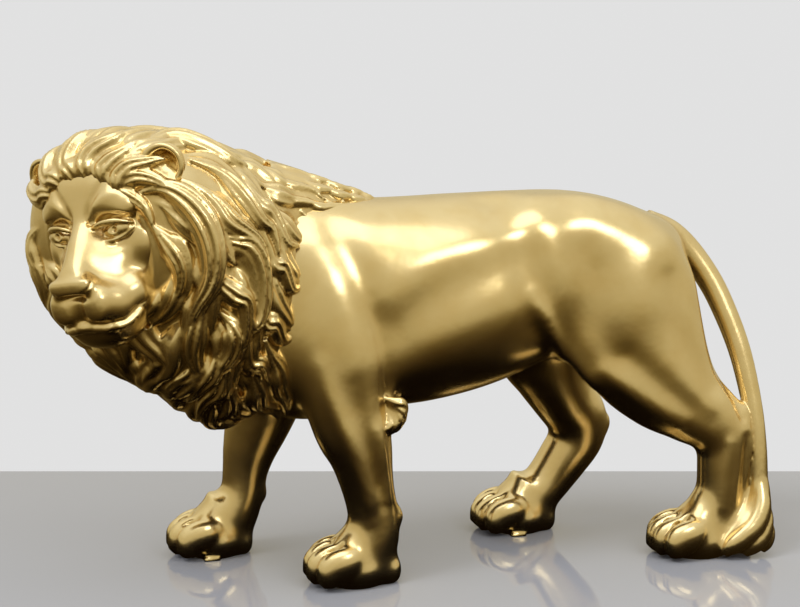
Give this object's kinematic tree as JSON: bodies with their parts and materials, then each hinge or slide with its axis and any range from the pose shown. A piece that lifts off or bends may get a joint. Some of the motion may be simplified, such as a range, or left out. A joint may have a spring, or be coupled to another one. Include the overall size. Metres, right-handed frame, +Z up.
{
  "type": "lion statue",
  "caption": "Life-size walking lion, cast in one piece with no base: head turned to its left, full mane of long wavy locks, tail dropping to the floor beside the hind paw.",
  "frame": {"origin": "middle of the outline, in the plane of the four flat soles", "axes": "+Z up, X along the body with the head towards -X; the head is turned to the lion's left, -Y"},
  "size_m": [2.0476, 0.6408, 1.2412],
  "materials": {
    "gold": "polished gold under a clear gloss"
  },
  "bodies": {
    "root": {"lion": "gold"}
  },
  "joints": []
}
